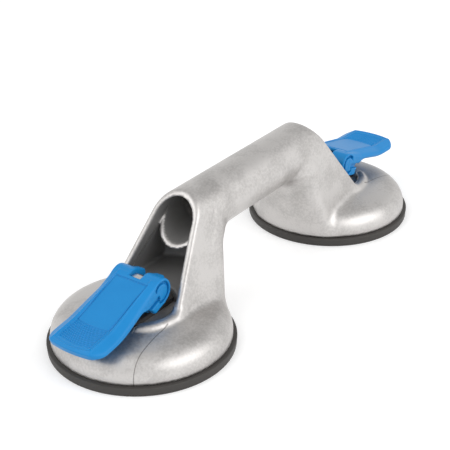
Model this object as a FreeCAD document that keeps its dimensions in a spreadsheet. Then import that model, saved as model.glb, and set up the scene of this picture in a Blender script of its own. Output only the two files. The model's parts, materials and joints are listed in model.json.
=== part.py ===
"""Two-cup suction lifter for floor tiles: a cast tube handle on two domed cups.

Each cup has a rubber disc, a pull stud through the cup's well, and a plastic cam lever on
the stud's cross pin.  Pressing the lever down draws the stud up and makes the vacuum.

Frame: millimetres, +X along the handle, +Y across it, +Z up, origin on the floor midway
between the cups.  The front cup is at -X and the rear cup at +X.
"""
import FreeCAD, Part
import math
import os
import Sketcher
from FreeCAD import Placement, Rotation, Vector

doc = FreeCAD.newDocument("suction_lifter")

# ---------------------------------------------------------------- driving dimensions
SIZES = {
    # overall layout
    "cup_pitch": 224.0,          # between the two cup axes
    # rubber disc
    "pad_radius": 60.0,
    "pad_edge_height": 7.7,
    "pad_edge_taper": 0.6,
    "pad_bevel": 0.8,            # round of its upper edge
    "pad_land": 12.0,            # width of the flat sealing ring
    "pad_draw": 2.4,             # how far the middle is drawn up
    "pad_web": 2.0,              # rubber left under the steel insert
    "groove_count": 3,
    "groove_pitch": 3.0,
    "groove_width": 1.2,
    "groove_depth": 0.8,
    # domed cup of the casting
    "rim_radius": 57.4,
    "rim_reveal": 0.7,           # shadow line between the rim and the rubber
    "rim_band": 0.7,             # upright edge of the rim, below the shoulder
    "shoulder_radius": 14.0,
    "shoulder_angle": 78.5,      # where the shoulder runs into the crown, from the horizontal
    "wall": 4.0,                 # wall of the casting
    # handle tube and the hoods that carry it
    "tube_radius": 18.0,
    "tube_height": 69.6,         # its axis above the floor
    "trough_end": 75.0,          # where the tube's lower half ends inside each hood
    "flank_angle": 12.5,         # splay of the hood's sides
    "leg_inset": 0.3,            # leg's round back, inside the rim
    "leg_top_height": 75.0,
    "leg_top_offset": 57.0,      # its centre there, from the cup axis towards the middle
    "leg_top_radius": 16.4,
    "face_offset": 42.6,         # hood's open face: a point at face_height, from the cup axis
    "face_height": 83.2,
    "face_angle": 54.2,          # slope of that face
    "floor_height": 32.0,        # floor of the hood's cavity
    # well round the pull stud
    "well_radius": 22.3,
    "well_floor": 24.0,
    "lip_width": 6.5,
    "lip_height": 28.5,
    "lip_bevel": 1.6,
    "channel_width": 28.0,       # gap in the lip on the lever's side
    "channel_start": 12.0,
    "channel_drop": 1.2,
    "boss_radius": 12.5,
    "boss_drop": 3.0,
    # pull stud, bush, plate and insert
    "stud_radius": 6.0,
    "eye_width": 8.0,
    "eye_drop": 17.5,            # from the pin down to the end of the flats
    "pin_height": 42.0,          # cross pin above the floor with the lever pressed down
    "pin_radius": 3.0,
    "pin_length": 30.0,
    "pin_chamfer": 0.5,
    "running_gap": 0.05,
    "press_gap": 0.02,
    "free_gap": 0.3,
    "bush_wall": 2.0,
    "flange_width": 2.5,
    "flange_height": 1.2,
    "plate_width": 22.0,
    "plate_height": 3.0,
    "insert_radius": 28.0,
    "insert_height": 2.5,
    "insert_hub_radius": 14.0,
    "insert_hub_height": 1.2,
    "nut_flats": 18.0,
    "nut_height": 3.5,
    # release spring
    "spring_radius": 16.5,
    "wire_width": 1.8,
    "wire_height": 1.4,
    "spring_turns": 2.5,
    # cam lever, in its own frame: s along the arm from the pin, n square to it
    "stroke": 3.0,               # lift of the stud
    "lever_travel": 80.0,        # swing from pressed down to released
    "lever_slope": 19.9,         # droop of the arm when pressed down
    "rear_lift": 6.0,            # how far the rear lever stands open
    "arm_half": 20.2,
    "arm_top": 8.8,
    "arm_length": 68.0,
    "arm_depth": 6.3,            # height of its side walls
    "arm_wall": 2.6,
    "thumb_start": 46.0,
    "thumb_rise": 3.6,
    "tip_height": 5.6,
    "tip_round": 4.0,
    "tip_bow": 2.0,
    "tip_corner": 9.0,
    "throat_start": 24.0,        # where the arm's underside curves down to the cheeks
    "throat_end": 13.0,
    "throat_drop": 4.9,
    "throat_radius": 14.0,
    "skirt_start": 4.0,
    "skirt_end": 9.0,
    "skirt_drop": 6.6,
    "skirt_radius": 11.6,
    "cheek_half": 16.2,
    "cheek_radius": 8.5,
    "hub_half": 13.2,
    "hub_radius": 10.6,
    "lobe_half": 10.6,
    "notch_width": 9.2,
    "notch_reach": 3.0,
    "pocket_start": 17.0,
    "pocket_end": 61.0,
    "panel_half": 13.0,          # groove that frames the arm's flat panel
    "panel_start": 4.0,
    "panel_groove": 0.8,
    "panel_depth": 0.5,
    "grip_count": 8,             # curved grip grooves across the thumb end
    "grip_pitch": 2.0,
    "grip_width": 0.8,
    "grip_depth": 0.4,
}

sheet = doc.addObject("Spreadsheet::Sheet", "Sizes")
for row, (alias, number) in enumerate(SIZES.items(), start=1):
    sheet.set("A%d" % row, alias)
    sheet.set("B%d" % row, repr(number))
    sheet.setAlias("B%d" % row, alias)
doc.recompute()


class Size:
    """A length or angle that knows both its number and the expression that gives it."""

    def __init__(self, text, number):
        self.text, self.number = text, number

    @staticmethod
    def of(other):
        return other if isinstance(other, Size) else Size(repr(float(other)), float(other))

    def __add__(self, other):
        other = Size.of(other)
        return Size("(%s + %s)" % (self.text, other.text), self.number + other.number)

    def __sub__(self, other):
        other = Size.of(other)
        return Size("(%s - %s)" % (self.text, other.text), self.number - other.number)

    def __mul__(self, other):
        other = Size.of(other)
        return Size("(%s * %s)" % (self.text, other.text), self.number * other.number)

    def __truediv__(self, other):
        other = Size.of(other)
        return Size("(%s / %s)" % (self.text, other.text), self.number / other.number)

    def __neg__(self):
        return Size("(-1 * %s)" % self.text, -self.number)

    __radd__ = __add__
    __rmul__ = __mul__

    def __rsub__(self, other):
        return Size.of(other) - self

    def __float__(self):
        return float(self.number)


def size(alias):
    return Size("Sizes." + alias, float(sheet.get(alias)))


def cos(angle):
    return Size("cos(%s * 1 deg)" % angle.text, math.cos(math.radians(angle.number)))


def sin(angle):
    return Size("sin(%s * 1 deg)" % angle.text, math.sin(math.radians(angle.number)))


def root(value):
    return Size("sqrt(%s)" % value.text, math.sqrt(value.number))


# ---------------------------------------------------------------- sketch helpers
ORIGIN, AXIS_X, AXIS_Y = (-1, 1), -1, -2


def bow(start, end, radius):
    """Middle point of the arc from start to end; a negative radius bows to the right."""
    chord = end - start
    half = chord.Length / 2
    rise = abs(radius) - math.sqrt(max(radius * radius - half * half, 0.0))
    left = Vector(-chord.y, chord.x, 0).normalize()
    return (start + end) * 0.5 + left * (rise if radius > 0 else -rise)


def outline(sketch, corners, arcs=None):
    """Draw a closed outline and drive every corner from the sheet.

    corners: (x, y) pairs of Sizes or numbers.  arcs: {corner index: radius} for the stretch
    that starts there, positive when it bows to the left of its run.
    """
    arcs = arcs or {}
    spots = [Vector(float(x), float(y), 0) for x, y in corners]
    ends = []
    for index, here in enumerate(spots):
        there = spots[(index + 1) % len(spots)]
        if index in arcs:
            middle = bow(here, there, float(arcs[index]))
            turned = float(arcs[index]) > 0      # a sketch's arcs run anticlockwise
            first, last = (there, here) if turned else (here, there)
            number = sketch.addGeometry(Part.Arc(first, middle, last), False)
        else:
            number = sketch.addGeometry(Part.LineSegment(here, there), False)
            turned = False
        ends.append((number, 2 if turned else 1, 1 if turned else 2))
    for index, (number, first, last) in enumerate(ends):
        following = ends[(index + 1) % len(ends)]
        sketch.addConstraint(
            Sketcher.Constraint("Coincident", number, last, following[0], following[1]))
    for index, (number, first, last) in enumerate(ends):
        for kind, axis, value in (("DistanceX", AXIS_Y, corners[index][0]),
                                  ("DistanceY", AXIS_X, corners[index][1])):
            value = Size.of(value)
            if value.text == "0.0":
                sketch.addConstraint(Sketcher.Constraint("PointOnObject", number, first, axis))
                continue
            bond = sketch.addConstraint(
                Sketcher.Constraint(kind, *ORIGIN, number, first, value.number))
            sketch.setExpression("Constraints[%d]" % bond, value.text)
        if index in arcs:
            radius = Size.of(arcs[index])
            bond = sketch.addConstraint(
                Sketcher.Constraint("Radius", number, abs(radius.number)))
            sketch.setExpression("Constraints[%d]" % bond, "abs(%s)" % radius.text)
    return sketch


def free_sketch(name, placement, corners, arcs=None):
    sketch = doc.addObject("Sketcher::SketchObject", name)
    sketch.Placement = placement
    return outline(sketch, corners, arcs)


def body_sketch(body, name, plane, corners, arcs=None):
    sketch = body.newObject("Sketcher::SketchObject", name)
    support = [item for item in body.Origin.OriginFeatures if item.Role == plane]
    sketch.AttachmentSupport = [(support[0], "")]
    sketch.MapMode = "FlatFace"
    return outline(sketch, corners, arcs)


# ---------------------------------------------------------------- shared places
UP = Rotation()
SIDEWAYS = Rotation(Vector(1, 1, 1), 120)      # sketch x, y -> across the handle, up
STANDING = Rotation(Vector(1, 0, 0), 90)       # sketch x, y -> along the handle, up
ALONG = Rotation(Vector(0, 1, 0), 90)          # a cylinder's axis along the handle
ACROSS = Rotation(Vector(1, 0, 0), -90)        # a cylinder's axis across the handle

cup = size("cup_pitch") / 2
wall = size("wall")
rim_height = size("pad_edge_height") + size("rim_reveal")
rim_top = rim_height + size("rim_band")
shoulder_middle = size("rim_radius") - size("shoulder_radius")
crown_radius = (shoulder_middle / cos(size("shoulder_angle"))) + size("shoulder_radius")
shoulder_top = rim_top + size("shoulder_radius") * sin(size("shoulder_angle"))
apex = shoulder_top + crown_radius * (1 - sin(size("shoulder_angle")))
insert_base = size("pad_draw") + size("pad_web") + size("free_gap") + size("stroke")
spring_seat = size("well_floor") - wall
bush_radius = size("stud_radius") + size("running_gap") + size("bush_wall")
lift_rate = size("stroke") / (size("lever_travel") * math.pi / 180)    # mm of lift per radian


# ---------------------------------------------------------------- object helpers
def bind(thing, **values):
    """Drive properties from the sheet; place=(x, y, z) drives the placement's base."""
    for axis, value in zip("xyz", values.pop("place", ())):
        thing.setExpression("Placement.Base." + axis, Size.of(value).text)
    for name, value in values.items():
        thing.setExpression(name, Size.of(value).text)
    return thing


def cylinder(name, radius, height, place, turn=UP):
    thing = doc.addObject("Part::Cylinder", name)
    thing.Placement = Placement(Vector(), turn)
    return bind(thing, Radius=radius, Height=height, place=place)


def box(name, length, width, height, place, turn=UP):
    thing = doc.addObject("Part::Box", name)
    thing.Placement = Placement(Vector(), turn)
    return bind(thing, Length=length, Width=width, Height=height, place=place)


def fuse(name, *shapes):
    thing = doc.addObject("Part::MultiFuse", name)
    thing.Shapes = list(shapes)
    return thing


def common(name, *shapes):
    thing = doc.addObject("Part::MultiCommon", name)
    thing.Shapes = list(shapes)
    return thing


def cut(name, base, *tools):
    thing = doc.addObject("Part::Cut", name)
    thing.Base = base
    thing.Tool = tools[0] if len(tools) == 1 else fuse(name + "_tools", *tools)
    return thing


def extrude(name, sketch, direction, length, middle=False):
    thing = doc.addObject("Part::Extrusion", name)
    thing.Base = sketch
    thing.DirMode = "Custom"
    thing.Dir = direction
    thing.Solid = True
    thing.Symmetric = middle
    return bind(thing, LengthFwd=length)


def revolve(name, sketch, axis_x):
    thing = doc.addObject("Part::Revolution", name)
    thing.Source = sketch
    thing.Axis = Vector(0, 0, 1)
    thing.Angle = 360
    thing.Solid = True
    return bind(thing, **{"Base.x": axis_x})


# ---------------------------------------------------------------- handle casting
def dome_outline(name, inset, base, reveal):
    """Section of the dome: rim, round shoulder and shallow crown, set in by inset."""
    shoulder = size("shoulder_radius") - inset
    crown = crown_radius - inset
    rim = size("rim_radius") - inset
    turn = size("shoulder_angle")
    corners = [
        (0, base),
        (rim - reveal, base),
        (rim - reveal, rim_height),
        (rim, rim_height),
        (rim, rim_top),
        (shoulder_middle + shoulder * cos(turn), rim_top + shoulder * sin(turn)),
        (0, apex - inset),
    ]
    if not float(reveal):
        del corners[2:3]
    last = len(corners) - 3
    arcs = {last: -shoulder, last + 1: -crown}
    sketch = free_sketch(name, Placement(Vector(), STANDING), corners, arcs)
    return bind(sketch, place=(cup, 0, 0))


def arch_outline(name, inset, start):
    """Section of hood and leg: the tube's upper half with straight splayed flanks."""
    radius = size("tube_radius") - inset
    turn = size("flank_angle")
    base = rim_height if not float(inset) else size("pad_edge_height")
    foot = radius / cos(turn) + (size("tube_height") - base) * sin(turn) / cos(turn)
    side, shoulder = radius * cos(turn), size("tube_height") + radius * sin(turn)
    corners = [(-foot, base), (foot, base), (side, shoulder), (-side, shoulder)]
    sketch = free_sketch(name, Placement(Vector(), SIDEWAYS), corners, {2: -radius})
    return bind(sketch, place=(start, 0, 0))


def leg_back(name, inset):
    """Oblique cone from the dome's rim up to a smaller circle nearer the middle."""
    rings = []
    for level, radius, offset, height in (
            ("low", size("rim_radius") - size("leg_inset"), Size.of(0), rim_height),
            ("top", size("leg_top_radius"), size("leg_top_offset"), size("leg_top_height"))):
        ring = doc.addObject("Part::Circle", "%s_%s" % (name, level))
        rings.append(bind(ring, Radius=radius - inset, place=(cup - offset, 0, height)))
    cone = doc.addObject("Part::Loft", name)
    cone.Sections = rings
    cone.Solid = True
    cone.Ruled = True
    return cone


def hood_block(name, inset):
    """Hood and leg as one block, before its open face is cut."""
    leg_middle = cup - size("leg_top_offset")
    start = leg_middle - size("leg_top_radius") - wall
    arch = extrude(name + "_arch", arch_outline(name + "_section", inset, start),
                   Vector(1, 0, 0), cup - start)
    front = box(name + "_front", cup, 2 * cup, 2 * size("tube_height"),
                (leg_middle + size("leg_top_radius") * 0.7, -cup, 0))
    plan = fuse(name + "_plan", leg_back(name + "_back", inset), front)
    return common(name, arch, plan)


def casting_end():
    """One cup with its hood, at the rear; the front one is its mirror image."""
    dome = revolve("dome", dome_outline("dome_section", Size.of(0), size("pad_edge_height"),
                                        size("rim_reveal")), cup)
    lip_in, lip_out = size("well_radius"), size("well_radius") + size("lip_width")
    lip_top, lip_bevel = size("lip_height"), size("lip_bevel")
    lip_section = free_sketch("lip_section", Placement(Vector(), STANDING), [
        (lip_in - wall, spring_seat), (lip_out, spring_seat), (lip_out, lip_top - lip_bevel),
        (lip_out - lip_bevel, lip_top), (lip_in - wall, lip_top)])
    bind(lip_section, place=(cup, 0, 0))
    lip = revolve("lip", lip_section, cup)

    # the open face: everything beyond its slope goes
    reach = 2 * size("tube_height")
    slope = size("face_angle")
    face = box("face_cut", 2 * reach, 2 * cup, reach,
               (cup - size("face_offset") - reach * cos(slope), -cup,
                size("face_height") + reach * sin(slope)),
               Rotation(Vector(0, 1, 0), slope.number))
    bind(face, **{"Placement.Rotation.Angle": slope})
    hood = cut("hood", hood_block("hood_solid", Size.of(0)), face)

    # hollow inside: the hood's cavity, a floor, and the space under the dome
    slab = box("hood_floor", 2 * cup, 2 * cup, wall, (0, -cup, size("floor_height") - wall))
    well_wall = cylinder("well_wall", size("well_radius") + wall,
                         size("floor_height") - spring_seat, (cup, 0, spring_seat))
    boss_base = spring_seat - size("boss_drop")
    boss = cylinder("boss", size("boss_radius"), size("well_floor") - boss_base,
                    (cup, 0, boss_base))
    under_dome = revolve("under_dome", dome_outline(
        "under_dome_section", wall, size("pad_edge_height") - wall, Size.of(0)), cup)
    hollow = cut("hollow", fuse("hollow_spaces", hood_block("hood_space", wall), under_dome),
                 slab, well_wall, boss)
    well = cylinder("well", size("well_radius"), size("floor_height") + wall - size("well_floor"),
                    (cup, 0, size("well_floor")))
    bore = cylinder("bush_bore", bush_radius + size("press_gap"), size("well_floor"),
                    (cup, 0, boss_base - wall))
    channel = box("lever_channel", cup, size("channel_width"), wall + size("lip_height") - apex,
                  (cup + size("channel_start"), -size("channel_width") / 2,
                   apex - size("channel_drop")))
    return cut("casting_end", fuse("casting_end_solid", dome, lip, hood, boss),
               hollow, well, bore, channel)


def handle_casting():
    rear = casting_end()
    front = doc.addObject("Part::Mirroring", "casting_end_mirrored")
    front.Source = rear
    front.Normal = Vector(1, 0, 0)
    trough = size("trough_end")
    tube = cylinder("tube", size("tube_radius"), 2 * trough, (-trough, 0, size("tube_height")),
                    ALONG)
    bore = cylinder("tube_bore", size("tube_radius") - wall, 2 * trough,
                    (-trough, 0, size("tube_height")), ALONG)
    return cut("handle_casting", fuse("casting_solid", rear, front, tube), bore)


# ---------------------------------------------------------------- pieces of each cup
def turned(name, corners, arcs=None):
    """A body turned about its own vertical axis from a half section."""
    piece = doc.addObject("PartDesign::Body", name)
    section = body_sketch(piece, name + "_section", "XZ_Plane", corners, arcs)
    feature = piece.newObject("PartDesign::Revolution", name + "_turn")
    feature.Profile = section
    feature.ReferenceAxis = (section, ["V_Axis"])
    feature.Angle = 360
    return piece


def rubber_pad(name):
    """Rubber disc: sealing ring with grooves, drawn-up middle and a seat for the insert."""
    inner_land = size("pad_radius") - size("pad_edge_taper") - size("pad_land")
    draw = size("pad_draw")
    corners = [(0, draw), (inner_land, 0)]
    for number in range(int(SIZES["groove_count"])):
        start = inner_land + size("groove_pitch") * (number + 0.5)
        depth = size("groove_depth")
        for x, y in ((start, 0), (start, depth), (start + size("groove_width"), depth),
                     (start + size("groove_width"), 0)):
            corners.append((x, y))
    seat = size("insert_radius") + size("free_gap")
    floor = draw + size("pad_web")
    corners += [
        (size("pad_radius") - size("pad_edge_taper"), 0),
        (size("pad_radius"), size("pad_edge_height") - size("pad_bevel")),
        (size("pad_radius") - size("pad_bevel"), size("pad_edge_height")),
        (seat, size("pad_edge_height")),
        (seat, floor),
        (0, floor),
    ]
    return turned(name, corners)


def pad_insert(name, lowered):
    """Steel disc bonded into the rubber, with a hub that the stud screws into."""
    bore = size("stud_radius") + size("press_gap")
    low = insert_base - lowered
    top = low + size("insert_height")
    hub = size("insert_hub_radius")
    return turned(name, [
        (bore, low), (size("insert_radius"), low), (size("insert_radius"), top), (hub, top),
        (hub, top + size("insert_hub_height")), (bore, top + size("insert_hub_height"))])


def guide_bush(name):
    """Flanged plastic bush that guides the stud in the casting's boss."""
    bore = size("stud_radius") + size("running_gap")
    seat = spring_seat - size("boss_drop")
    flange = bush_radius + size("flange_width")
    return turned(name, [
        (bore, seat - size("flange_height")), (flange, seat - size("flange_height")),
        (flange, seat), (bush_radius, seat), (bush_radius, size("well_floor")),
        (bore, size("well_floor"))])


def slide_plate(name):
    """Wear plate that the cam lobes slide on, lying on the floor of the well."""
    low, height = size("well_floor"), size("plate_height")
    disc = cylinder(name + "_disc", size("well_radius") - size("free_gap"), height, (0, 0, low))
    strip = box(name + "_strip", 2 * size("well_radius"), size("plate_width"), height,
                (-size("well_radius"), -size("plate_width") / 2, low))
    hole = cylinder(name + "_hole", size("stud_radius") + size("free_gap"), height, (0, 0, low))
    return cut(name, common(name + "_blank", disc, strip), hole)


def pull_stud(name, lowered):
    """Round stud with a flattened, rounded eye for the cross pin."""
    pin = size("pin_height") - lowered
    low = insert_base - lowered
    radius, flats_end = size("stud_radius"), pin - size("eye_drop")
    shank = cylinder(name + "_shank", radius, flats_end - low, (0, 0, low))
    rod = cylinder(name + "_rod", radius, pin + radius - flats_end, (0, 0, flats_end))
    section = free_sketch(name + "_eye_section", Placement(Vector(), STANDING), [
        (-radius, flats_end), (radius, flats_end), (radius, pin), (-radius, pin)],
        {2: -radius * 1.0000001})
    eye = extrude(name + "_eye", section, Vector(0, 1, 0), size("eye_width"), middle=True)
    hole = cylinder(name + "_hole", size("pin_radius") + size("press_gap"), 2 * radius,
                    (0, -radius, pin), ACROSS)
    return cut(name, fuse(name + "_solid", shank, common(name + "_flats", rod, eye)), hole)


def stud_nut(name, lowered):
    """Thin hexagon nut that locks the stud to the insert."""
    low = insert_base - lowered + size("insert_height") + size("insert_hub_height")
    blank = doc.addObject("Part::Prism", name + "_blank")
    bind(blank, Circumradius=size("nut_flats") / root(Size.of(3)), Height=size("nut_height"),
         place=(0, 0, low))
    hole = cylinder(name + "_hole", size("stud_radius") + size("press_gap"), size("nut_height"),
                    (0, 0, low))
    return cut(name, blank, hole)


def release_spring(name, lowered):
    """Flat wire coil between the insert and the casting's web; it pushes the rubber down."""
    low = float(insert_base - lowered + size("insert_height"))
    rise = float(spring_seat) - low - SIZES["wire_height"]
    pitch = rise / SIZES["spring_turns"]
    edges = []
    for across, up in ((-1, 0), (1, 0), (1, 1), (-1, 1)):
        edge = Part.makeHelix(pitch, rise, SIZES["spring_radius"] + across * SIZES["wire_width"] / 2)
        edge.translate(Vector(0, 0, low + up * SIZES["wire_height"]))
        edges += edge.Edges
    faces = [Part.makeRuledSurface(edge, following).Faces[0]
             for edge, following in zip(edges, edges[1:] + edges[:1])]
    for end in (0, 1):
        corners = [edge.valueAt(edge.ParameterRange[end]) for edge in edges]
        faces.append(Part.Face(Part.makePolygon(corners + corners[:1])))
    shell = Part.makeShell(faces)
    shell.sewShape()
    solid = Part.Solid(shell)
    if solid.Volume < 0:
        solid.reverse()
    thing = doc.addObject("Part::Feature", name)
    thing.Shape = solid
    return thing


def pivot_pin(name, lowered):
    """Cross pin through the stud's eye, with chamfered ends that the lever turns on."""
    piece = doc.addObject("PartDesign::Body", name)
    sketch = body_sketch(piece, name + "_circle", "XZ_Plane", [])
    radius, height = size("pin_radius"), size("pin_height") - lowered
    sketch.addGeometry(Part.Circle(Vector(0, float(height), 0), Vector(0, 0, 1), float(radius)))
    sketch.addConstraint(Sketcher.Constraint("PointOnObject", 0, 3, AXIS_Y))
    for kind, ends, value in (("DistanceY", ORIGIN + (0, 3), height), ("Radius", (0,), radius)):
        bond = sketch.addConstraint(Sketcher.Constraint(kind, *ends, float(value)))
        sketch.setExpression("Constraints[%d]" % bond, value.text)
    rod = piece.newObject("PartDesign::Pad", name + "_rod")
    rod.Profile = sketch
    rod.Midplane = True
    bind(rod, Length=size("pin_length"))
    doc.recompute()
    ends = piece.newObject("PartDesign::Chamfer", name + "_ends")
    ends.Base = (rod, ["Face%d" % (number + 1) for number, face in enumerate(rod.Shape.Faces)
                       if face.Surface.TypeId == "Part::GeomPlane"])
    return bind(ends, Size=size("pin_chamfer")) and piece


# ---------------------------------------------------------------- cam lever
def lobe_edge():
    """Cam outline: its distance from pin to slide plate falls evenly as the lever opens.

    The flat plate touches the cam where the outline's normal points down, so the outline is
    the curve whose support distance is p(turn) = closed - rate * turn: an involute.
    """
    closed = SIZES["pin_height"] - SIZES["well_floor"] - SIZES["plate_height"]
    closed -= SIZES["running_gap"]
    rate = lift_rate.number
    down = math.radians(SIZES["lever_slope"] - 90)
    travel = math.radians(SIZES["lever_travel"])
    margin, steps = math.radians(12), 10
    points = []
    for step in range(steps + 1):
        turn = -margin / 3 + (travel + margin * 4 / 3) * step / steps
        angle = down - turn
        support = closed - rate * turn
        out = Vector(math.cos(angle), 0, math.sin(angle))
        along = Vector(-math.sin(angle), 0, math.cos(angle))
        points.append(out * support + along * rate)
    curve = Part.BSplineCurve()
    curve.interpolate(points)
    return curve.toShape(), points[0], points[-1]


def cam_lobes(name):
    """The two lobes in one block, in the lever's frame; the notch parts them later."""
    edge, first, last = lobe_edge()
    half = SIZES["lobe_half"]
    back = Vector(-SIZES["hub_radius"] * 0.6, 0, SIZES["hub_radius"] * 0.6)
    front = Vector(SIZES["throat_end"], 0, -SIZES["throat_drop"])
    top = Vector(SIZES["throat_end"], 0, SIZES["arm_top"] - SIZES["arm_wall"])
    rim = [edge] + [Part.LineSegment(a, b).toShape() for a, b in
                    ((last, back), (back, top), (top, front), (front, first))]
    face = Part.Face(Part.Wire(Part.__sortEdges__(rim)))
    solid = face.extrude(Vector(0, 2 * half, 0))
    solid.translate(Vector(0, -half, 0))
    thing = doc.addObject("Part::Feature", name)
    thing.Shape = solid
    return thing


def arm_outline(name):
    """Side view of the arm: flat top, raised thumb end, and the throat under it."""
    top, length = size("arm_top"), size("arm_length")
    thumb_run = length - size("tip_round") - size("thumb_start")
    rise, under = size("thumb_rise"), top - size("arm_depth")
    thumb = (thumb_run * thumb_run + rise * rise) / (2 * rise)
    corners = [
        (size("skirt_start"), top),
        (size("thumb_start"), top),
        (length - size("tip_round"), top + rise),
        (length, top + rise - size("tip_height") / 2),
        (length - size("tip_round") / 2, top + rise - size("tip_height")),
        (size("thumb_start"), under),
        (size("throat_start"), under),
        (size("throat_end"), -size("throat_drop")),
        (size("skirt_end"), -size("skirt_drop")),
    ]
    arcs = {1: -thumb, 2: size("tip_round"), 3: size("tip_round"), 6: -size("throat_radius"),
            8: size("skirt_radius")}
    return free_sketch(name, Placement(Vector(), STANDING), corners, arcs)


def plan_outline(name):
    """Top view of the arm: parallel sides, round corners and a bowed tip."""
    half, corner, bowed = size("arm_half"), size("tip_corner"), size("tip_bow")
    tip = size("arm_length") - bowed
    chord = half - corner
    corners = [(-half, -half), (tip - corner, -half), (tip, corner - half), (tip, half - corner),
               (tip - corner, half), (-half, half)]
    bow_radius = (chord * chord + bowed * bowed) / (2 * bowed)
    arcs = {1: -corner, 2: -bow_radius, 3: -corner}
    sketch = free_sketch(name, Placement(), corners, arcs)
    return bind(sketch, place=(0, 0, -half))


def panel_frame(name):
    """Groove on three sides of the flat panel, open towards the thumb end."""
    half, start, groove = size("panel_half"), size("panel_start"), size("panel_groove")
    level = size("arm_top") - size("panel_depth")
    outer = box(name + "_outer", size("thumb_start") - start, 2 * half, size("arm_depth"),
                (start, -half, level))
    inner = box(name + "_inner", size("thumb_start") - start, 2 * half - 2 * groove,
                size("arm_depth"), (start + groove, -half + groove, level))
    return cut(name, outer, inner)


def grip_grooves(name):
    """Curved grooves across the raised thumb end, each a little higher than the last."""
    half, width = size("panel_half"), size("grip_width")
    bowed = size("tip_bow") * (size("panel_half") / size("arm_half"))
    radius = (half * half + bowed * bowed) / (2 * bowed)
    run = size("arm_length") - size("tip_round") - size("thumb_start")
    grooves = []
    for number in range(int(SIZES["grip_count"])):
        start = size("thumb_start") + size("grip_pitch") * (number + 0.5) - bowed
        share = size("grip_pitch") * (number + 0.5) / run
        level = size("arm_top") + size("thumb_rise") * share * share - size("grip_depth")
        strip = free_sketch("%s_line_%d" % (name, number), Placement(), [
            (start, -half), (start + width, -half), (start + width, half), (start, half)],
            {1: -radius, 3: radius})
        bind(strip, place=(0, 0, level))
        grooves.append(extrude("%s_%d" % (name, number), strip, Vector(0, 0, 1),
                               size("arm_depth")))
    return fuse(name, *grooves)


def cam_lever(name):
    """Moulded lever: arm, cheeks and hub with two cam lobes, hollow from below."""
    half = size("arm_half")
    level = Vector(0, 1, 0)
    arm = extrude(name + "_arm", arm_outline(name + "_side"), level, 2 * half, middle=True)
    block_section = free_sketch(name + "_cheek_side", Placement(Vector(), STANDING), [
        (0, -size("cheek_radius")), (size("skirt_end"), -size("skirt_drop")),
        (size("throat_end"), -size("throat_drop")), (size("throat_end"), size("arm_top")),
        (0, size("cheek_radius"))])
    block = extrude(name + "_cheek_block", block_section, level, 2 * size("cheek_half"),
                    middle=True)
    rounds = [cylinder("%s_%s" % (name, part), size(part + "_radius"), 2 * size(part + "_half"),
                       (0, -size(part + "_half"), 0), ACROSS) for part in ("cheek", "hub")]
    plan = extrude(name + "_plan", plan_outline(name + "_plan_section"), Vector(0, 0, 1),
                   2 * half)
    blank = common(name + "_blank", plan, fuse(name + "_solid", arm, block, *rounds))

    # hollow under the arm
    ceiling = size("arm_top") - size("arm_wall")
    start, end = size("pocket_start"), size("pocket_end")
    rise = size("thumb_rise") * 0.8
    pocket_section = free_sketch(name + "_pocket_side", Placement(Vector(), STANDING), [
        (start, -half), (end, -half), (end, ceiling + rise), (size("thumb_start"), ceiling),
        (start, ceiling)])
    pocket = extrude(name + "_pocket", pocket_section, level, 2 * (half - size("arm_wall")),
                     middle=True)

    # notch for the stud's eye, following the stud as the lever swings
    room = size("stud_radius") + 2 * size("free_gap")
    drop = size("pin_height") - size("well_floor")
    slope = size("lever_slope")
    lean = drop * sin(slope) / cos(slope) + room / cos(slope)
    notch_section = free_sketch(name + "_notch_side", Placement(Vector(), STANDING), [
        (-half, -drop), (lean, -drop), (room / cos(slope), 0), (room, room / 2),
        (size("notch_reach"), room), (size("notch_reach"), half), (-half, half)])
    notch = extrude(name + "_notch", notch_section, level, size("notch_width"), middle=True)
    hole = cylinder(name + "_hole", size("pin_radius") + size("running_gap"), 2 * half,
                    (0, -half, 0), ACROSS)
    return cut(name, fuse(name + "_whole", cut(name + "_shell", blank, pocket),
                          cam_lobes(name + "_lobes")),
               notch, hole, panel_frame(name + "_panel"), grip_grooves(name + "_grip"))


# ---------------------------------------------------------------- assembly
def seat(piece, label, end, turn=0.0, lift=None):
    """Stand a piece made about the cup's own axis in its cup, the lever's side outwards."""
    piece.Label = label
    facing = Rotation(Vector(0, 0, 1), 180 if end < 0 else 0)
    droop = Rotation(Vector(0, 1, 0), float(turn))
    piece.Placement = Placement(Vector(), facing.multiply(droop))
    bind(piece, place=(cup * end, 0, lift or Size.of(0)))
    return piece


def build():
    """Make every piece in its place; the rear stud stands lower by its lever's opening."""
    casting = handle_casting()
    casting.Label = "handle_casting"
    pieces = [casting]
    for side, end, opened in (("front", -1, Size.of(0)), ("rear", 1, size("rear_lift"))):
        lowered = lift_rate * opened * (math.pi / 180)
        for make in (rubber_pad, guide_bush, slide_plate):
            name = side + "_" + make.__name__
            pieces.append(seat(make(name + "_shape"), name, end))
        for make in (pad_insert, pull_stud, stud_nut, release_spring, pivot_pin):
            name = side + "_" + make.__name__
            pieces.append(seat(make(name + "_shape", lowered), name, end))
        pieces.append(seat(cam_lever(side + "_cam"), side + "_lever", end,
                           size("lever_slope") - opened, size("pin_height") - lowered))
    return pieces


pieces = build()
doc.recompute()
for thing in doc.Objects:
    if "Invalid" in thing.State or "Error" in thing.State:
        raise RuntimeError("%s did not build: %s" % (thing.Label, thing.State))
for piece in pieces:
    shape = piece.Shape
    if shape.isNull() or not shape.isValid() or len(shape.Solids) != 1:
        raise RuntimeError("%s is not one valid solid" % piece.Label)

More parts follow.
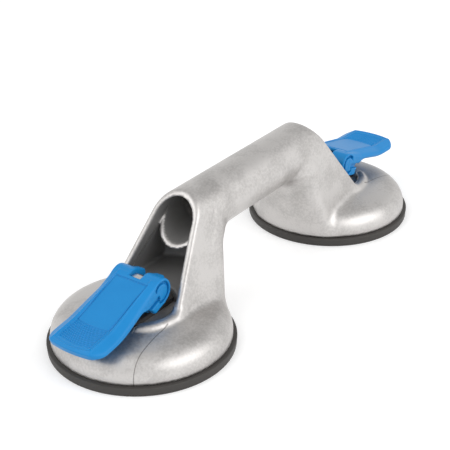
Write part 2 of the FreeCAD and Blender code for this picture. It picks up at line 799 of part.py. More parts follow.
os.makedirs("parts", exist_ok=True)
for piece in pieces:
    piece.Shape.exportStep(os.path.join("parts", piece.Label + ".step"))
    extent = piece.Shape.BoundBox
    print("%-20s %10.1f mm3  x %7.1f %7.1f  y %6.1f %6.1f  z %6.2f %6.2f" % (
        piece.Label, piece.Shape.Volume, extent.XMin, extent.XMax, extent.YMin, extent.YMax,
        extent.ZMin, extent.ZMax))
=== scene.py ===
"""Floor tile suction lifter: a cast aluminium handle on two rubber suction discs.

Lengths are millimetres in the pieces' sections and become metres as each mesh is made.
"""
import json
import math

import bpy
import numpy as np
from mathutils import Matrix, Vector

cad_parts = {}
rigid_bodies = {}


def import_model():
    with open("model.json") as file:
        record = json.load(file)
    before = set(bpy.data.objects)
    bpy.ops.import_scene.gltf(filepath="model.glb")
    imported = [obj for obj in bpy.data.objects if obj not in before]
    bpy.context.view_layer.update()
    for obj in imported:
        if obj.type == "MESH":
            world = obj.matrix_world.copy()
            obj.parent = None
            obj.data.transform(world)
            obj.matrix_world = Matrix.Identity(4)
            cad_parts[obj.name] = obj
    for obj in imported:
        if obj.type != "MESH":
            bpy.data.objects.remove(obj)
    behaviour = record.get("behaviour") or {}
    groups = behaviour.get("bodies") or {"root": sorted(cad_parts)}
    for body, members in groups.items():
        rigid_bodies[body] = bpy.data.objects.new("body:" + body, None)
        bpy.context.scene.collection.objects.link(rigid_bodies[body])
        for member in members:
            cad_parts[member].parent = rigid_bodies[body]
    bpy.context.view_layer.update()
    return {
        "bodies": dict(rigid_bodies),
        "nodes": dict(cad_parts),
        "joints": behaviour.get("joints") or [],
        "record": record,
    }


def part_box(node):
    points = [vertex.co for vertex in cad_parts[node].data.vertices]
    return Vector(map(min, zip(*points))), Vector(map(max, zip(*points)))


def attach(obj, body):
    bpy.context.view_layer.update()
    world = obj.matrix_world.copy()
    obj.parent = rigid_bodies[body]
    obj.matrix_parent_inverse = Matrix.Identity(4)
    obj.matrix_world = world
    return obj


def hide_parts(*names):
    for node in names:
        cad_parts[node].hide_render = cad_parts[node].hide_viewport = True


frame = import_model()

MM = 0.001


# ---- The handle casting ------------------------------------------------------------------
# One aluminium casting: a tube handle that runs out into two hollow hoods, each standing on
# a domed cup with a raised lip round its well.  It is sand cast in one piece and left bare,
# and its two rims lap over the edges of the rubber discs.

def smooth_max(a, b, blend):
    """The larger of two fields, with the crease between them rounded over blend mm."""
    overlap = np.clip(blend - np.abs(a - b), 0.0, None)
    return np.maximum(a, b) + overlap * overlap / (4 * np.maximum(blend, 1e-6))


def smooth_min(a, b, blend):
    """The smaller of two fields, with the inside corner between them filled over blend mm."""
    return -smooth_max(-a, -b, blend)


def ticks(start, *stretches):
    """Grid lines from start on: each (end, step) stretch has even cells of about step mm."""
    lines = [np.array([start])]
    for end, step in stretches:
        begin = lines[-1][-1]
        lines.append(np.linspace(begin, end, round((end - begin) / step) + 1)[1:])
    return np.concatenate(lines)


def skin(field, axes):
    """Closed surface where field(x, y, z) = 0, on a grid with these lines on its three axes.

    Each cell that the surface passes through gets one vertex, at the mean of the points where
    the surface cuts the cell's edges; each cut grid edge gets one quad between its four cells.
    The vertices are then evened out with their neighbours, and put back on the surface by
    Newton's rule: p - f(p) grad f / |grad f|^2.
    """
    finest = min(np.diff(axis).min() for axis in axes)
    values = field(*np.meshgrid(*axes, indexing="ij", sparse=True))
    values = np.where(np.abs(values) < 1e-9, 1e-9, values)
    inside = values < 0
    cells = tuple(n - 1 for n in values.shape)
    total = np.zeros(cells + (3,))
    count = np.zeros(cells)
    cuts = []
    for axis in range(3):
        here = [slice(None)] * 3
        there = [slice(None)] * 3
        here[axis], there[axis] = slice(None, -1), slice(1, None)
        a, b = values[tuple(here)], values[tuple(there)]
        spot = np.argwhere(inside[tuple(here)] != inside[tuple(there)])
        i, j, k = spot.T
        share = a[i, j, k] / (a[i, j, k] - b[i, j, k])
        point = spot.astype(float)
        point[:, axis] += share
        side, other = [n for n in range(3) if n != axis]
        kept = np.ones(len(spot), bool)
        around = []
        for da, db in ((0, 0), (1, 0), (1, 1), (0, 1)):
            cell = spot.copy()
            cell[:, side] -= da
            cell[:, other] -= db
            kept &= np.all((cell >= 0) & (cell < cells), axis=1)
            around.append(cell)
        point, spot = point[kept], spot[kept]
        around = [cell[kept] for cell in around]
        for cell in around:
            np.add.at(total, tuple(cell.T), point)
            np.add.at(count, tuple(cell.T), 1)
        entering = inside[tuple(here)][tuple(spot.T)]
        cuts.append((around, entering != (axis == 1)))
    number = np.full(cells, -1)
    used = count > 0
    number[used] = np.arange(used.sum())
    points = total[used] / count[used][:, None]
    points = np.stack([np.interp(points[:, n], np.arange(len(axis)), axis)
                       for n, axis in enumerate(axes)], axis=1)
    quads = []
    for around, outward in cuts:
        quad = np.stack([number[tuple(cell.T)] for cell in around], axis=1)
        quads.append(np.where(outward[:, None], quad[:, ::-1], quad))
    quads = np.concatenate(quads)
    ends = np.concatenate([quads[:, [n, (n + 1) % 4]] for n in range(4)])
    for _ in range(3):
        near = np.zeros_like(points)
        for axis in range(3):
            near[:, axis] = np.bincount(ends[:, 0], points[ends[:, 1], axis], len(points))
        near /= np.bincount(ends[:, 0], minlength=len(points))[:, None]
        points = points * 0.5 + near * 0.5
        for _ in range(2):
            points = settle(field, points, 0.5 * finest)
    return points, quads


def settle(field, points, furthest):
    """One Newton step back to the surface, by at most that distance."""
    tiny = 0.02
    flattest = 0.05
    x, y, z = points.T
    slopes = np.stack([field(x + tiny, y, z) - field(x - tiny, y, z),
                       field(x, y + tiny, z) - field(x, y - tiny, z),
                       field(x, y, z + tiny) - field(x, y, z - tiny)], axis=1) / (2 * tiny)
    steep = np.maximum((slopes * slopes).sum(1), flattest)
    shift = slopes * (field(x, y, z) / steep)[:, None]
    length = np.linalg.norm(shift, axis=1, keepdims=True)
    return points - shift * np.minimum(1, furthest / np.maximum(length, 1e-9))


def add_mesh(name, points, faces, smooth=True):
    """A piece from points in millimetres, at the origin, with its place in its mesh."""
    mesh = bpy.data.meshes.new(name)
    mesh.vertices.add(len(points))
    mesh.vertices.foreach_set("co", (np.asarray(points) * MM).ravel())
    faces = np.asarray(faces)
    mesh.loops.add(faces.size)
    mesh.loops.foreach_set("vertex_index", faces.ravel())
    mesh.polygons.add(len(faces))
    mesh.polygons.foreach_set("loop_start", np.arange(0, faces.size, faces.shape[1]))
    mesh.polygons.foreach_set("loop_total", np.full(len(faces), faces.shape[1]))
    mesh.polygons.foreach_set("use_smooth", np.full(len(faces), smooth))
    mesh.update(calc_edges=True)
    mesh.validate()
    piece = bpy.data.objects.new(name, mesh)
    bpy.context.scene.collection.objects.link(piece)
    return piece


class Wire:
    """One socket of a node tree.  Sums written with wires and numbers add their Math nodes."""

    def __init__(self, tree, socket=None):
        self.tree, self.socket = tree, socket

    def node(self, kind, settings=None, sockets=None, output=0):
        """A node of that kind: its settings first, then the values or wires of its sockets."""
        node = self.tree.nodes.new("ShaderNode" + kind)
        for name, value in (settings or {}).items():
            setattr(node, name, value)
        for name, value in (sockets or {}).items():
            if isinstance(value, Wire):
                self.tree.links.new(value.socket, node.inputs[name])
            else:
                node.inputs[name].default_value = value
        return Wire(self.tree, node.outputs[output])

    def maths(self, operation, *values):
        """A Math node on exactly these values, so self is among them where it is wanted."""
        return self.node("Math", {"operation": operation}, dict(enumerate(values)))

    def __add__(self, other):
        return self.maths("ADD", self, other)

    def __sub__(self, other):
        return self.maths("SUBTRACT", self, other)

    def __rsub__(self, other):
        return self.maths("SUBTRACT", other, self)

    def __mul__(self, other):
        return self.maths("MULTIPLY", self, other)

    def __abs__(self):
        return self.maths("ABSOLUTE", self)

    __radd__, __rmul__ = __add__, __mul__

    def split(self):
        return [self.node("SeparateXYZ", None, {0: self}, axis) for axis in range(3)]

    def step(self, start, end):
        """Smooth step from 0 at start to 1 at end."""
        return self.node("MapRange", {"interpolation_type": "SMOOTHSTEP"},
                         {"Value": self, "From Min": start, "From Max": end})

    def grain(self, size, detail=2.0):
        """Even noise from 0 to 1 whose grains are about size across."""
        return self.node("TexNoise", None, {"Vector": self, "Scale": 1 / size, "Detail": detail})

    def tint(self, dark, light):
        """Colour from dark at 0 to light at 1."""
        return self.node("Mix", {"data_type": "RGBA"},
                         {0: self, 6: dark + (1,), 7: light + (1,)}, 2)

    def relief(self, depth):
        """Normal of a surface raised by up to depth millimetres where this is 1."""
        return self.node("Bump", None, {"Strength": 1.0, "Distance": depth * MM, "Height": self})


def new_finish(name, **constants):
    """A material whose shader has these constants, and its object coordinates in mm."""
    material = bpy.data.materials.new(name)
    material.use_nodes = True
    shader = material.node_tree.nodes["Principled BSDF"]
    for socket, value in constants.items():
        shader.inputs[socket.replace("_", " ")].default_value = value
    place = Wire(material.node_tree).node("TexCoord", None, None, "Object")
    place = place.node("VectorMath", {"operation": "SCALE"}, {"Vector": place, "Scale": 1 / MM})
    return material, place


def feed(material, **wires):
    """Leads each wire to the shader socket of its name."""
    shader = material.node_tree.nodes["Principled BSDF"]
    for socket, wire in wires.items():
        material.node_tree.links.new(wire.socket, shader.inputs[socket.replace("_", " ")])
    return material


rear_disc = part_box("rear_rubber_pad")
casting_low, casting_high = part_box("handle_casting")
CUP = (rear_disc[0].x + rear_disc[1].x) / 2 / MM         # cup axis, along the handle
SEAT = casting_low.z / MM                                # top of the rubber discs
RIM = casting_high.y / MM                                # radius of the castings' rims
LAP, LAP_WIDTH = 1.6, 2.5                                # the rim's edge laps over the disc
WALL = 4.0
TUBE = 18.0                                              # the handle's radius
TUBE_AXIS = casting_high.z / MM - TUBE
# dome: radii of its shoulder and crown, and how far the shoulder turns before the crown
RIM_TOP = SEAT + 1.4
SHOULDER, SHOULDER_TURN = 14.0, math.radians(78.5)
CROWN = (RIM - SHOULDER) / math.cos(SHOULDER_TURN) + SHOULDER
CROWN_LEVEL = RIM_TOP - (CROWN - SHOULDER) * math.sin(SHOULDER_TURN)
# hood: splay of its flanks, its open face, and the oblique cone of the leg behind it
FLANK = math.radians(12.5)
FACE, FACE_X, FACE_LEVEL = math.radians(54.2), CUP - 42.6, 83.2
LEG_TOP, LEG_LEAN = 75.0, 57.0                           # level where the cone has leant that far
LEG_FOOT, LEG_NECK = RIM - 0.3, 16.4                     # its radii at the rim and up there
HOOD_FLOOR = 32.0
HANDLE_END = CUP - 56                                    # where the tube gives way to the hood
# tube's end inside the hood: its wall, where it starts, and the slanted plane that ends it
STUB_WALL, STUB_START = 3.0, CUP - 72
STUB_X, STUB_LEVEL, STUB_SLANT = CUP - 45.5, 68.6, 0.9
# well: lip, floor, the opening in front of the lever, and the guide bush's bore
LIP, LIP_TOP = 28.8, 28.5
WELL, WELL_FLOOR, WELL_TOP = 22.3, 24.0, 36.0
GAP_HALF, GAP_START, GAP_FLOOR = 14.0, CUP + 12, 25.4
BUSH_BORE = 8.07
# underside: top of the hollow under the hood, and radius and level of the web and its boss
HOLLOW_TOP = 28.0
WEB, WEB_LEVEL = 26.3, 20.0
BOSS, BOSS_LEVEL = 12.5, 17.0


def dome(r, z, inset=0.0):
    """Crown arc about the cup axis, a round shoulder tangent to it, and an upright rim."""
    middle = RIM - SHOULDER
    crown = np.hypot(r, z - CROWN_LEVEL) - CROWN
    shoulder = np.hypot(r - middle, z - RIM_TOP) - SHOULDER
    rim = r - RIM
    on_shoulder = (r - middle) * math.tan(SHOULDER_TURN) > z - RIM_TOP
    return np.where(z < RIM_TOP, rim, np.where(on_shoulder, shoulder, crown)) + inset


def arch(y, z):
    """Half circle of the tube's radius with straight flanks, tangent to it and splayed."""
    side, up = np.abs(y), z - TUBE_AXIS
    flank = side * math.cos(FLANK) + up * math.sin(FLANK) - TUBE
    return np.where(up > side * math.tan(FLANK), np.hypot(side, up) - TUBE, flank)


def leg_back(x, y, z):
    """Oblique cone: its circle shrinks and moves inwards from the rim to near the tube, and
    its half that faces the cup is left open."""
    share = (z - RIM_TOP) / (LEG_TOP - RIM_TOP)
    middle = CUP - LEG_LEAN * share
    radius = LEG_FOOT + (LEG_NECK - LEG_FOOT) * share
    return np.minimum(np.hypot(x - middle, y) - radius, middle - x)


def stub_end(x, z):
    """Distance past the slanted plane that ends the tube's lower wall inside the hood."""
    return ((x - STUB_X) + (z - STUB_LEVEL) * STUB_SLANT) * (1 / math.hypot(1, STUB_SLANT))


def casting(x, y, z):
    """Dome, lip, hood and tube blended outside, then hollowed, with the tube's end kept.  The
    last number of each smooth_max or smooth_min is how broadly that edge or corner rounds."""
    x, side = np.abs(x), np.abs(y)
    r = np.hypot(x - CUP, y)
    tube = np.hypot(y, z - TUBE_AXIS)
    back = leg_back(x, y, z)
    outer = arch(y, z)
    inner = outer + WALL
    face = (x - FACE_X) * math.sin(FACE) + (z - FACE_LEVEL) * math.cos(FACE)
    hood = smooth_max(smooth_max(outer, back, 4.0), face, 2.2)
    lip = smooth_max(r - LIP, z - LIP_TOP, 3.5)
    body = smooth_min(dome(r, z), lip, 2.0)
    body = smooth_min(body, hood, 4.0)
    # the tube's fillet to the hood is broad below its axis and runs out to nothing above
    below = np.clip((TUBE_AXIS - z) / 12, 0, 1)
    body = smooth_min(body, np.maximum(tube - TUBE, x - HANDLE_END), 12.0 * below)
    cavity = np.maximum(np.maximum(inner, back + WALL), x - CUP)
    under = np.minimum(dome(r, z, WALL), np.maximum(cavity, z - HOLLOW_TOP))
    under = np.maximum(under, -np.maximum(r - WEB, WEB_LEVEL - z))
    under = np.maximum(under, -np.maximum(r - BOSS, BOSS_LEVEL - z))
    cavity = smooth_max(cavity, HOOD_FLOOR - z, 2.5)
    body = smooth_max(body, -cavity, 0.8)
    stub = smooth_max(tube - TUBE + WALL - STUB_WALL, stub_end(x, z), 0.8)
    body = smooth_min(body, np.maximum(stub, STUB_START - x), 1.0)
    body = np.maximum(body, -under)
    well = np.maximum(np.maximum(r - WELL, WELL_FLOOR - z), z - WELL_TOP)
    body = smooth_max(body, -well, 0.8)
    gap = np.maximum(np.maximum(side - GAP_HALF, GAP_START - x), GAP_FLOOR - z)
    body = smooth_max(body, -gap, 1.0)
    body = smooth_max(body, TUBE - WALL - tube, 1.4)
    body = np.maximum(body, BUSH_BORE - r)
    return smooth_max(body, SEAT - LAP * (r > RIM - LAP_WIDTH) - z, 0.8)


def cast_aluminium():
    """Satin cast metal with stains from broad to fine, a fine mould line down the outer half
    of each dome, and dull skin with painted shade inside the hollows."""
    material, place = new_finish("cast aluminium")
    x, y, z = place.split()
    past_lip = abs(x) - CUP - 7.4
    # mould line: y = 27.3 + 0.003 t^2 at t past the lip
    line = abs(abs(y) - (past_lip * past_lip * 0.003 + 27.3)).step(0.45, 0.12)
    line = line * past_lip.step(-0.5, 0.5)
    hollow = place.node("Attribute", {"attribute_name": "hollow"}, None, "Fac")
    speckle = place.grain(1.7, 4.0).step(0.40, 0.62)
    cloud = place.grain(17.0, 4.0).step(0.36, 0.64)
    fine = place.grain(0.9, 2.0)
    broad = place.grain(38.0, 2.0).step(0.38, 0.62)
    shade = speckle * 0.2 + fine * 0.4 + cloud * 0.24 + broad * 0.2 - line + 0.33
    colour = shade.tint((0.27, 0.258, 0.248), (0.59, 0.572, 0.558))
    # painted shade: inside the hollows the colour is mixed towards dark grey
    colour = hollow.node("Mix", {"data_type": "RGBA"},
                         {0: hollow, 6: colour, 7: (0.24, 0.235, 0.23, 1)}, 2)
    grain = speckle * 0.18 + fine * 0.3 - line * 2
    return feed(material, Base_Color=colour, Metallic=1 - hollow * 0.65,
                Roughness=cloud * 0.05 + speckle * 0.05 + hollow * 0.15 + 0.40,
                Normal=grain.relief(0.024))


def dull_shaded_share(x, y, z):
    """1 on the dull skin, darkened as painted shade, inside the hoods and tube and on the
    undersides, 0.35 in the wells.
    """
    x = np.abs(x)
    r = np.hypot(x - CUP, y)
    hood = np.clip(1 - (arch(y, z) + WALL - 0.3), 0, 1) * (z > HOOD_FLOOR - 1) * (x < CUP)
    bore = np.clip(1 - (np.hypot(y, z - TUBE_AXIS) - TUBE + WALL) / 0.8, 0, 1)
    stub_face = (np.abs(stub_end(x, z)) <= 0.7) & (z <= TUBE_AXIS + 3)
    share = np.maximum(hood, bore) * (leg_back(x, y, z) < -2) * ~stub_face
    share = np.maximum(share, 0.35 * (r < WELL) * (z < WELL_FLOOR + 1))
    return np.maximum(share, (z < SEAT + 0.4) * (r < RIM - 2))


# cells are fine round the hoods, coarser on the domes, and long along the plain tube
END, SIDE, TOP = CUP + RIM + 2, RIM + 2, TUBE_AXIS + TUBE + 2
points, faces = skin(casting, (
    ticks(-END, (-100, 1.4), (-52, 1.1), (52, 2.5), (100, 1.1), (END, 1.4)),
    ticks(-SIDE, (-26, 1.4), (26, 1.05), (SIDE, 1.4)),
    ticks(SEAT - 4, (TOP, 1.0))))
handle = add_mesh("cast_handle", points, faces)
# the hollow attribute marks where the metal is dull and its colour is darkened as painted shade
hollow = handle.data.attributes.new("hollow", "FLOAT", "POINT")
hollow.data.foreach_set("value", dull_shaded_share(*points.T).astype(np.float32))
handle.data.materials.append(cast_aluminium())
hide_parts("handle_casting")
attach(handle, "handle")


# ---- The rubber discs --------------------------------------------------------------------
# Two moulded rubber discs, dark grey, bonded to the steel inserts under the castings.  Each
# has a round outer edge, a sealing ring with fine grooves, a hollow middle underneath, and a
# recess on top for its insert.  Its outer edge is stepped to sit inside the rim's lap.

GROOVES, GROOVE_PITCH, GROOVE_DEPTH = 3, 3.0, 0.8
SEAL_WIDTH, EDGE_ROUND = 12.0, 0.6                       # sealing ring, and the edge outside it
RECESS, RECESS_FLOOR = 28.3, 4.4                         # radius and level of the insert's recess


def turned(name, profile, centre, around=192):
    """Surface of revolution: each (radius, height) of the profile swept round the z axis."""
    radius, height = np.array(profile).T
    turn = np.linspace(0, 2 * math.pi, around, endpoint=False)
    points = np.stack([radius[:, None] * np.cos(turn) + centre[0],
                       radius[:, None] * np.sin(turn) + centre[1],
                       np.broadcast_to(height[:, None], (len(radius), around))], axis=2)
    row = np.arange(len(radius) - 1)[:, None] * around
    here, after = np.arange(around), (np.arange(around) + 1) % around
    faces = np.stack([row + here, row + after, row + around + after, row + around + here], axis=2)
    return add_mesh(name, points.reshape(-1, 3), faces.reshape(-1, 4))


def rounded(corners, steps=6):
    """Profile through (radius, height, rounding) corners, each rounded by a quarter sweep:
    point = corner + (before - corner) (1 - t)^2 + (after - corner) t^2, cut back by rounding."""
    spots = np.array(corners)[:, :2]
    profile = []
    for number, (radius, height, rounding) in enumerate(corners):
        if not rounding:
            profile.append((radius, height))
            continue
        here, before, after = spots[number], spots[number - 1], spots[(number + 1) % len(spots)]
        back, on = before - here, after - here
        back = back / np.linalg.norm(back) * rounding
        on = on / np.linalg.norm(on) * rounding
        t = np.linspace(0, 1, steps)[:, None]
        profile += (here + back * (1 - t) ** 2 + on * t ** 2).tolist()
    return profile


def black_rubber():
    """Moulded rubber: dark warm grey, matt, with a fine even grain and faint dusty bloom."""
    material, place = new_finish("black rubber", IOR=1.5)
    bloom = place.grain(9.0, 4.0) * 0.6 + place.grain(0.6, 2.0) * 0.4
    return feed(material, Base_Color=bloom.tint((0.024, 0.022, 0.020), (0.052, 0.047, 0.043)),
                Roughness=bloom * 0.2 + 0.5, Normal=place.grain(0.35).relief(0.02))


rubber = black_rubber()
for side in ("front", "rear"):
    low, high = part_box(side + "_rubber_pad")
    centre = ((low.x + high.x) / 2 / MM, 0.0)
    disc_radius = (high.y - low.y) / 2 / MM
    land = disc_radius - EDGE_ROUND - SEAL_WIDTH
    corners = [(0.01, 2.4, 0), (land * 0.55, 1.75, 6), (land, 0.02, 1)]
    for ring in range(GROOVES):
        start = land + GROOVE_PITCH * (ring + 0.5)
        corners += [(start, 0.0, 0.2), (start + 0.2, GROOVE_DEPTH, 0.2),
                    (start + 1.0, GROOVE_DEPTH, 0.2), (start + 1.2, 0.0, 0.2)]
    corners += [(disc_radius - 0.4, 0.0, 0.9), (disc_radius, SEAT - LAP - 0.2, 0.8),
                (RIM - 1.2, SEAT - LAP, 0.3), (RIM - 2.6, SEAT, 0.2), (RECESS, SEAT, 0.3),
                (RECESS, RECESS_FLOOR, 0.3), (0.01, RECESS_FLOOR, 0)]
    disc = turned(side + "_suction_disc", rounded(corners), centre)
    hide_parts(side + "_rubber_pad")
    disc.data.materials.append(rubber)
    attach(disc, "handle")


# ---- Studs, plates, springs and pins -----------------------------------------------------
# The small parts of each cup are the solids themselves: turned steel studs, nuts and pins,
# plated inserts, wound springs, and black wear plates and guide bushes that are pressed in.

def bright_steel():
    """Turned steel: cool grey, finely streaked."""
    material, place = new_finish("bright steel", Metallic=1.0)
    streak = place.grain(0.6, 3.0) + 0.12
    return feed(material, Base_Color=streak.tint((0.50, 0.50, 0.51), (0.66, 0.66, 0.66)),
                Roughness=streak * 0.12 + 0.2, Normal=streak.relief(0.01))


def spring_steel():
    """Drawn wire with a dark oil finish, lighter where it is rubbed."""
    material, place = new_finish("spring steel", Metallic=1.0)
    rub = place.grain(2.5, 4.0)
    return feed(material, Base_Color=rub.tint((0.16, 0.15, 0.15), (0.42, 0.41, 0.40)),
                Roughness=rub * 0.2 + 0.3, Normal=rub.relief(0.01))


def black_plastic(name, dark, light):
    """Moulded wear plastic, with straight scuffs along the handle where the lobes slide."""
    material, place = new_finish(name, IOR=1.5)
    along = place.node("VectorMath", {"operation": "MULTIPLY"}, {0: place, 1: (0.08, 1.0, 1.0)})
    scuff = along.grain(0.7, 3.0)
    return feed(material, Base_Color=scuff.tint(dark, light), Roughness=scuff * 0.3 + 0.35,
                Normal=scuff.relief(0.015))


finishes = {
    "steel": bright_steel(), "spring_steel": spring_steel(), "rubber": rubber,
    "wear_plastic": black_plastic("wear plate", (0.024, 0.023, 0.024), (0.06, 0.057, 0.055)),
    "bush_plastic": black_plastic("guide bush", (0.03, 0.03, 0.03), (0.07, 0.068, 0.066))}
for node in frame["nodes"].values():
    for held in node.material_slots:
        kind = held.material.name.split(".")[0]
        held.material = finishes.get(kind, held.material)


# ---- The cam levers ----------------------------------------------------------------------
# Two blue moulded plastic levers, each turning on its cross pin.  The arm is a shallow
# channel with a raised frame round a flat panel, and its hub carries the two cam lobes.
# Lengths along the arm and square to it are from the pin's middle.

ARM_TOP, ARM_LENGTH = 8.8, 67.1
ARM_BOTTOM, SKIRT_BOTTOM = 2.5, -8.6
RAMP, RAMP_START, UNDER_RAMP, UNDER_START = 0.2, 43.5, 0.21, 42.0    # rise towards the thumb end
THROAT, THROAT_S, THROAT_N = 13.0, 24.0, -10.5           # radius and middle of the throat's curve
CORNER = 8.0                                             # plan radius at the thumb end
FRAME, FRAME_HIGH, FRAME_END = 1.0, 0.55, 65.2           # half width, height, far end
INNER, INNER_HIGH, INNER_END = 0.7, 0.3, 63.2            # the same for the rim round the ribs
PANEL, PANEL_START, PANEL_END = 12.2, 4.8, 43.5
GROOVE, GROOVE_DOWN = 0.75, 0.8                          # the groove round the panel
RIB_START, RIB_PITCH, RIBS, RIB_HIGH = 44.4, 1.6, 11, 0.6
BOW = 0.0104                                             # the ribs bow by BOW y^2
HUB, HUB_HALF = 8.95, 17.4
PIN_HOLE, PIN_HOLE_HALF = 3.05, 15.05
EYE_HALF = 4.6                                           # room for the stud's eye
CHEEK_FLOOR = 15.5                                       # how far out the cheek's grooves start
CHANNEL_START, CHANNEL_END, SKIN = 17.0, 61.0, 2.6
LEVER_TRAVEL = math.radians(80)
DROOP = math.radians(19.9)                               # the arm's slope when it is clamped
LOBE = 14.95                                             # from the pin to the plate, clamped
LOBE_RATE = 3.0 / LEVER_TRAVEL                           # how much nearer the plate it comes
LOBE_START = DROOP - math.radians(90)
LOBE_HALF, LOBE_FRONT = 10.6, 13.0


def slope(t):
    """Smooth step from 0 to 1 as t goes from 0 to 1: 3 t^2 - 2 t^3."""
    t = np.clip(t, 0, 1)
    return t * t * (3 - 2 * t)


def bead(distance, half_width):
    """Round-topped ridge along distance = 0: (1 - (distance / half_width)^2)^2."""
    return np.clip(1 - (distance / half_width) ** 2, 0, None) ** 2


def rise(s, start, blend, rate):
    """Ramp that climbs at that rate past start, eased in over blend mm."""
    return rate * smooth_max(s - start, 0 * s, blend)


def top_level(s, side, frame_line):
    """Height of the arm's top: flat, then a ramp to the thumb end, with a raised frame, a
    groove round the panel, and ribs bowed towards the thumb end."""
    bowed = s + BOW * side ** 2
    level = ARM_TOP + rise(s, RAMP_START, 4.0, RAMP)
    frame = np.maximum(side - frame_line + 0.8, bowed - FRAME_END)
    level = level + FRAME_HIGH * bead(frame, FRAME) * slope((s + 1) / 3)
    around_ribs = np.maximum(side - frame_line + 2.6, bowed - INNER_END)
    level = level + INNER_HIGH * bead(np.where(s > RIB_START, around_ribs, 9.0), INNER)
    around_panel = np.maximum(side - PANEL, PANEL_START - s)
    level = level - GROOVE_DOWN * bead(np.where(s < PANEL_END, around_panel, 9.0), GROOVE)
    turn = (bowed - RIB_START) / RIB_PITCH
    ribbed = (turn > 0) & (turn < RIBS) & (side < frame_line - 2.9)
    return level - np.where(ribbed, RIB_HIGH / 2 * (1 - np.cos(2 * math.pi * turn)), 0.0)


def lobes(s, n):
    """Side view of the cam lobes.  Their support falls evenly as the lever turns, which is an
    involute: at support angle t its radius is hypot(LOBE - LOBE_RATE t, LOBE_RATE)."""
    angle = np.arctan2(n, s)
    turn = LOBE_START - angle
    turn = np.clip(turn + LOBE_RATE / (LOBE - LOBE_RATE * turn), -0.1, LEVER_TRAVEL + 0.07)
    lobe = np.hypot(s, n) - np.hypot(LOBE - LOBE_RATE * turn, LOBE_RATE) + 0.02
    # flat that rests on the plate when clamped, then the front, the top and the back corner
    flat = s * math.cos(LOBE_START) + n * math.sin(LOBE_START) - LOBE
    lobe = np.maximum(lobe, np.where(angle > LOBE_START + 0.1, flat, -50))
    lobe = np.maximum(np.maximum(lobe, s - LOBE_FRONT), n - 4)
    return np.maximum(lobe, (n - s) * 0.7 - 8.5)


def lever(u, y, n):
    """Arm, cheeks, hub and lobes about the pin: y across, n square to the arm, and u along it,
    in grid lines that are bowed as the ribs are: s = u - BOW y^2 is the true length."""
    s, side = u - BOW * y * y, np.abs(y)
    reach = np.hypot(s, n)
    half = HUB_HALF + 3.8 * slope((s + 4) / 58)
    # plan: sides that part towards the thumb end, round corners and a bowed tip
    tip = ARM_LENGTH - 2.4 * (side / 20) ** 2
    corner_s, corner_y = s - (tip - CORNER), side - (half - CORNER)
    plan = np.where((corner_s > 0) & (corner_y > 0), np.hypot(corner_s, corner_y) - CORNER,
                    np.maximum(corner_s, corner_y) - CORNER)
    # underside: level under the arm, then the throat curving down to the skirts
    under = ARM_BOTTOM + rise(s, UNDER_START, 6.0, UNDER_RAMP) - n
    throat = np.where(n > THROAT_N, THROAT - np.hypot(s - THROAT_S, n - THROAT_N),
                      s - (THROAT_S - THROAT))
    # shoulders: the arm's top falls away outside the frame
    frame_line = 13.2 + 2.0 * slope(s / 50)
    inset = np.clip((side - frame_line) / (half - frame_line), 0, 1)
    inset = inset * (1.0 + 1.8 * slope((s - 4) / 14))
    top = n - top_level(s, side, frame_line) + inset
    arm = smooth_max(top, np.where(s > THROAT_S, under, throat), 1.2)
    arm = smooth_max(smooth_max(arm, plan, 2.0), np.maximum(-s, SKIRT_BOTTOM - n), 0.8)
    # hub, with a hooked groove and a slot in each cheek
    hub = smooth_max(reach - HUB, side - HUB_HALF, 1.2)
    hub = smooth_max(hub, n - ARM_TOP, 0.8)
    body = smooth_min(arm, hub, 0.8)
    groove = np.maximum(np.abs(reach - HUB + 2.7) - 0.95, s - 4.5)
    slot = np.maximum(np.abs(n + 1.5) - 1.6, np.abs(s - 9) - 6)
    body = smooth_max(body, -np.maximum(np.minimum(groove, slot), CHEEK_FLOOR - side), 0.5)
    body = smooth_min(body, smooth_max(lobes(s, n), side - LOBE_HALF, 0.8), 0.6)
    # channel under the arm, notch for the stud's eye, and the pin's blind hole
    channel = np.maximum(np.maximum(CHANNEL_START - s, s - CHANNEL_END), side - half + 2.8)
    roof = ARM_TOP - SKIN + rise(s, RAMP_START, 4.0, RAMP)
    body = smooth_max(body, -smooth_max(channel, n - roof, 1.5), 0.6)
    notch = np.where(n < 0, (6.6 - n * math.sin(DROOP)) / math.cos(DROOP),
                     np.where(n < 6.8, 6.6, 2.0))
    body = smooth_max(body, -np.maximum(s - notch, side - EYE_HALF), 0.7)
    return smooth_max(body, -np.maximum(reach - PIN_HOLE, side - PIN_HOLE_HALF), 0.3)


# cells are fine where the panel starts, at its sides and along the ribs, and coarser between
lever_points, lever_faces = skin(lever, (
    ticks(-12.5, (3.8, 0.55), (7.4, 0.25), (44, 0.9), (66.2, 0.22), (70.5, 0.45)),
    ticks(-22, (-16, 0.55), (-11.4, 0.25), (11.4, 0.9), (16, 0.25), (22, 0.55)),
    ticks(-17, (15, 0.5))))
lever_points[:, 0] -= BOW * lever_points[:, 1] ** 2


def blue_plastic():
    """Bright blue moulded plastic with a faint satin grain."""
    material, place = new_finish("blue plastic", IOR=1.5, Specular_IOR_Level=0.25)
    grain = place.grain(0.45, 3.0)
    cloud = place.grain(12.0, 2.0)
    shade = grain * 0.4 + cloud * 0.6
    return feed(material, Base_Color=shade.tint((0.004, 0.19, 0.49), (0.012, 0.24, 0.58)),
                Roughness=grain * 0.12 + 0.34, Normal=grain.relief(0.012))


blue = blue_plastic()


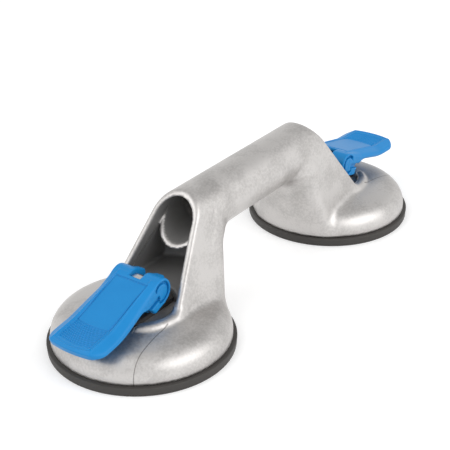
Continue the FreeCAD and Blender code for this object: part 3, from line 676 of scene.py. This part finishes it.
def cam_lever(side, outward, opened):
    """The lever's surface, drooped about its pin less the degrees that it stands opened, and
    turned to face outwards: -1 towards the front end, 1 towards the rear."""
    hinge = next(joint for joint in frame["joints"] if joint["name"] == side + "_lever_swing")
    droop = DROOP - math.radians(opened)
    s, y, n = lever_points.T
    along = s * math.cos(droop) + n * math.sin(droop)
    up = n * math.cos(droop) - s * math.sin(droop)
    place = np.array(hinge["pos_m"]) / MM
    points = np.stack([place[0] + outward * along, outward * y, place[2] + up], axis=1)
    piece = add_mesh(side + "_blue_lever", points, lever_faces)
    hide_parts(side + "_lever")
    piece.data.materials.append(blue)
    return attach(piece, side + "_lever_body")


cam_lever("front", -1, 0.0)
cam_lever("rear", 1, 6.0)


# ---- Studio ------------------------------------------------------------------------------
# A white floor that runs out of view under a pale sky that is greyer higher up, with two
# soft boxes: one on the near side, and a higher one off the front end.

def white_floor():
    """Matt white; seen by the camera and in the metal it also glows, so that it is white."""
    material, place = new_finish("white floor", Base_Color=(0.8, 0.8, 0.8, 1), Roughness=1.0,
                                 Emission_Strength=0.28)
    seen = place.node("LightPath", None, None, "Is Camera Ray")
    for ray in ("Is Glossy Ray", "Is Transmission Ray"):
        seen = seen.maths("MAXIMUM", seen, place.node("LightPath", None, None, ray))
    return feed(material, Emission_Color=seen.tint((0, 0, 0), (1, 1, 1)))


FAR = 30000.0
floor_points = np.array([(-FAR, -FAR, 0.0), (FAR, -FAR, 0.0), (FAR, FAR, 0.0), (-FAR, FAR, 0.0)])
floor = add_mesh("studio_floor", floor_points, np.array([[0, 1, 2, 3]]), smooth=False)
floor.data.materials.append(white_floor())

AZIMUTH, ELEVATION, DISTANCE = math.radians(-145.21), math.radians(29.90), 0.8256
toward = Vector((math.cos(AZIMUTH) * math.cos(ELEVATION), math.sin(AZIMUTH) * math.cos(ELEVATION),
                 math.sin(ELEVATION)))
lens = bpy.data.cameras.new("camera")
lens.sensor_width = 36
lens.lens = 94.3
lens.shift_x, lens.shift_y = -0.0415, 0.0974
lens.clip_start, lens.clip_end = 0.05, 20
camera = bpy.data.objects.new("camera", lens)
camera.location = toward * DISTANCE
camera.rotation_euler = (-toward).to_track_quat("-Z", "Y").to_euler()
bpy.context.scene.collection.objects.link(camera)
bpy.context.scene.camera = camera
bpy.context.scene.view_settings.view_transform = "Standard"

world = bpy.data.worlds.new("studio")
bpy.context.scene.world = world
world.use_nodes = True
sky = Wire(world.node_tree)
height = sky.node("TexCoord", None, None, "Generated").split()[2]
grey = height.step(0.12, 0.72) * -0.44 + 1.14
background = world.node_tree.nodes["Background"]
world.node_tree.links.new(grey.tint((0, 0, 0), (1, 1, 1)).socket, background.inputs["Color"])


def soft_box(name, azimuth, elevation, distance, width, depth, power):
    """A lamp that faces the handle's middle from that direction, in degrees, metres, watts."""
    lamp = bpy.data.lights.new(name, "AREA")
    lamp.shape, lamp.size, lamp.size_y, lamp.energy = "RECTANGLE", width, depth, power
    box = bpy.data.objects.new(name, lamp)
    turn, rise_angle = math.radians(azimuth), math.radians(elevation)
    middle = Vector((0, 0, 0.04))
    away = Vector((math.cos(turn) * math.cos(rise_angle), math.sin(turn) * math.cos(rise_angle),
                   math.sin(rise_angle)))
    box.location = away * distance + middle
    box.rotation_euler = (middle - box.location).to_track_quat("-Z", "Y").to_euler()
    bpy.context.scene.collection.objects.link(box)


soft_box("window", -88, 33, 1.6, 1.5, 1.0, 11)
soft_box("skylight", 150, 45, 1.8, 1.4, 1.2, 9)
